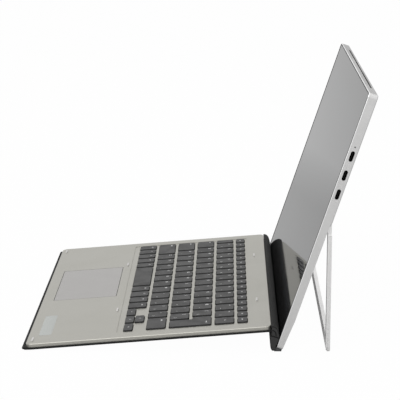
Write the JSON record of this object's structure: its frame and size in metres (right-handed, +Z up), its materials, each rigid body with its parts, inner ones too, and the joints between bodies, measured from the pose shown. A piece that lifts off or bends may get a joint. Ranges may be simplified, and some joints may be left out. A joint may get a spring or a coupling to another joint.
{
  "type": "two-in-one tablet",
  "caption": "Slim metal tablet leaning on its fold-out kickstand, with a glossy screen and an attached fabric-backed keyboard cover with a touchpad.",
  "frame": {"origin": "middle of the footprint, on the surface that it stands on", "axes": "+X to the user's right, +Y from the keyboard to the tablet's back, +Z up"},
  "size_m": [0.3004, 0.2976, 0.2238],
  "materials": {
    "shell_metal": "fine matte",
    "frame_metal": "satin",
    "deck_metal": "fine matte",
    "steel": "brushed",
    "copper": "satin",
    "contact_gold": "polished",
    "screen_glass": "polished",
    "touchpad_surface": "etched",
    "lens_glass": "polished",
    "gasket_rubber": "matte",
    "bumper_rubber": "matte",
    "panel_black": "gloss",
    "battery_wrap": "matte",
    "board_green": "matte",
    "dark_plastic": "matte",
    "spine_plastic": "matte",
    "key_plastic": "matte",
    "film": "satin",
    "light_pipe": "gloss",
    "fabric": "suede"
  },
  "bodies": {
    "tablet": {"rear_shell": "shell_metal", "cover_glass": "screen_glass", "display_gasket": "gasket_rubber", "display_panel": "panel_black", "mid_frame": "frame_metal", "frame_screws": "steel", "battery_pack": "battery_wrap", "main_board": "board_green", "heat_spreader": "copper", "fan_housing": "dark_plastic", "storage_card": "board_green", "wireless_card": "board_green", "port_board": "board_green", "usb_sockets": "steel", "audio_jack": "dark_plastic", "side_switches": "dark_plastic", "speakers": "dark_plastic", "front_camera": "dark_plastic", "rear_camera": "dark_plastic", "rear_camera_lens": "lens_glass", "wifi_antennas": "dark_plastic", "status_light": "light_pipe", "vent_grille": "dark_plastic", "dock_contacts": "contact_gold", "bezel_magnets": "steel", "kickstand_hinges": "steel"},
    "stand": {"kickstand": "shell_metal"},
    "fan": {"fan_rotor": "dark_plastic"},
    "power": {"power_button": "shell_metal"},
    "volume": {"volume_rocker": "shell_metal"},
    "connector": {"connector_spine": "spine_plastic", "spine_contacts": "contact_gold"},
    "flap": {"hinge_flap": "fabric", "flap_stiffener": "dark_plastic", "flap_magnets": "steel"},
    "keyboard": {"deck": "deck_metal", "underside_cover": "fabric", "bumpers": "bumper_rubber", "touchpad_bracket": "steel", "rubber_domes": "gasket_rubber", "key_circuit": "film", "key_support_plate": "steel", "keyboard_board": "board_green", "hinge_crease": "fabric"},
    "touchpad": {"touchpad_glass": "touchpad_surface", "touchpad_board": "board_green"},
    "function_keys": {"function_keys": "key_plastic"},
    "number_keys": {"number_keys": "key_plastic"},
    "backspace_key": {"backspace_key": "key_plastic"},
    "upper_letter_keys": {"upper_letter_keys": "key_plastic"},
    "middle_letter_keys": {"middle_letter_keys": "key_plastic"},
    "enter_key": {"enter_key": "key_plastic"},
    "left_shift_key": {"left_shift_key": "key_plastic"},
    "lower_letter_keys": {"lower_letter_keys": "key_plastic"},
    "right_shift_key": {"right_shift_key": "key_plastic"},
    "modifier_keys": {"modifier_keys": "key_plastic"},
    "space_key": {"space_key": "key_plastic"},
    "side_arrow_keys": {"side_arrow_keys": "key_plastic"},
    "down_arrow_key": {"down_arrow_key": "key_plastic"},
    "up_arrow_key": {"up_arrow_key": "key_plastic"}
  },
  "joints": [
    {"name": "kickstand_open", "type": "hinge", "parent": "tablet", "child": "stand", "pos_m": [0, 0.11177, 0.11407], "axis": [1, 0, 0], "range_deg": [-18.5, 116.5]},
    {"name": "fan_spin", "type": "hinge", "parent": "tablet", "child": "fan", "pos_m": [-0.1, 0.1356, 0.1836], "axis": [0, 0.9494, -0.314], "continuous": true},
    {"name": "power_press", "type": "slide", "parent": "tablet", "child": "power", "axis": [1, 0, 0], "range_m": [0, 0.0004], "stiffness_N_per_m": 2500, "springref_m": -0.0002},
    {"name": "volume_tilt", "type": "hinge", "parent": "tablet", "child": "volume", "pos_m": [-0.149, 0.12155, 0.15033], "axis": [0, 0.9494, -0.314], "range_deg": [-1.5, 1.5], "stiffness_Nm_per_rad": 0.27},
    {"name": "connector_detach", "type": "slide", "parent": "tablet", "child": "connector", "axis": [0, -0.314, -0.9494], "range_m": [0, 0.25]},
    {"name": "flap_fold", "type": "hinge", "parent": "connector", "child": "flap", "pos_m": [0, 0.06549, 0.0025], "axis": [1, 0, 0], "range_deg": [0, 110]},
    {"name": "keyboard_fold", "type": "hinge", "parent": "flap", "child": "keyboard", "pos_m": [0, 0.06926, 0.01995], "axis": [1, 0, 0], "range_deg": [-113.13, 20], "deforming": ["hinge_crease"]},
    {"name": "touchpad_press", "type": "hinge", "parent": "keyboard", "child": "touchpad", "pos_m": [0, -0.07702, 0.01002], "axis": [1, 0, 0], "range_deg": [0, 0.35], "stiffness_Nm_per_rad": 5, "springref_deg": -0.17},
    {"name": "function_keys_press", "type": "slide", "parent": "keyboard", "child": "function_keys", "axis": [0, 0.0842, -0.9964], "range_m": [0, 0.0012], "stiffness_N_per_m": 2400, "springref_m": -0.0004, "deforming": ["rubber_domes"]},
    {"name": "number_keys_press", "type": "slide", "parent": "keyboard", "child": "number_keys", "axis": [0, 0.0842, -0.9964], "range_m": [0, 0.0012], "stiffness_N_per_m": 2400, "springref_m": -0.0004, "deforming": ["rubber_domes"]},
    {"name": "backspace_key_press", "type": "slide", "parent": "keyboard", "child": "backspace_key", "axis": [0, 0.0842, -0.9964], "range_m": [0, 0.0012], "stiffness_N_per_m": 1200, "springref_m": -0.0004, "deforming": ["rubber_domes"]},
    {"name": "upper_letter_keys_press", "type": "slide", "parent": "keyboard", "child": "upper_letter_keys", "axis": [0, 0.0842, -0.9964], "range_m": [0, 0.0012], "stiffness_N_per_m": 2400, "springref_m": -0.0004, "deforming": ["rubber_domes"]},
    {"name": "middle_letter_keys_press", "type": "slide", "parent": "keyboard", "child": "middle_letter_keys", "axis": [0, 0.0842, -0.9964], "range_m": [0, 0.0012], "stiffness_N_per_m": 2400, "springref_m": -0.0004, "deforming": ["rubber_domes"]},
    {"name": "enter_key_press", "type": "slide", "parent": "keyboard", "child": "enter_key", "axis": [0, 0.0842, -0.9964], "range_m": [0, 0.0012], "stiffness_N_per_m": 1200, "springref_m": -0.0004, "deforming": ["rubber_domes"]},
    {"name": "left_shift_key_press", "type": "slide", "parent": "keyboard", "child": "left_shift_key", "axis": [0, 0.0842, -0.9964], "range_m": [0, 0.0012], "stiffness_N_per_m": 1200, "springref_m": -0.0004, "deforming": ["rubber_domes"]},
    {"name": "lower_letter_keys_press", "type": "slide", "parent": "keyboard", "child": "lower_letter_keys", "axis": [0, 0.0842, -0.9964], "range_m": [0, 0.0012], "stiffness_N_per_m": 2400, "springref_m": -0.0004, "deforming": ["rubber_domes"]},
    {"name": "right_shift_key_press", "type": "slide", "parent": "keyboard", "child": "right_shift_key", "axis": [0, 0.0842, -0.9964], "range_m": [0, 0.0012], "stiffness_N_per_m": 1200, "springref_m": -0.0004, "deforming": ["rubber_domes"]},
    {"name": "modifier_keys_press", "type": "slide", "parent": "keyboard", "child": "modifier_keys", "axis": [0, 0.0842, -0.9964], "range_m": [0, 0.0012], "stiffness_N_per_m": 2400, "springref_m": -0.0004, "deforming": ["rubber_domes"]},
    {"name": "space_key_press", "type": "slide", "parent": "keyboard", "child": "space_key", "axis": [0, 0.0842, -0.9964], "range_m": [0, 0.0012], "stiffness_N_per_m": 1200, "springref_m": -0.0004, "deforming": ["rubber_domes"]},
    {"name": "side_arrow_keys_press", "type": "slide", "parent": "keyboard", "child": "side_arrow_keys", "axis": [0, 0.0842, -0.9964], "range_m": [0, 0.0012], "stiffness_N_per_m": 1200, "springref_m": -0.0004, "deforming": ["rubber_domes"]},
    {"name": "down_arrow_key_press", "type": "slide", "parent": "keyboard", "child": "down_arrow_key", "axis": [0, 0.0842, -0.9964], "range_m": [0, 0.0012], "stiffness_N_per_m": 1200, "springref_m": -0.0004, "deforming": ["rubber_domes"]},
    {"name": "up_arrow_key_press", "type": "slide", "parent": "keyboard", "child": "up_arrow_key", "axis": [0, 0.0842, -0.9964], "range_m": [0, 0.0012], "stiffness_N_per_m": 1200, "springref_m": -0.0004, "deforming": ["rubber_domes"]}
  ]
}
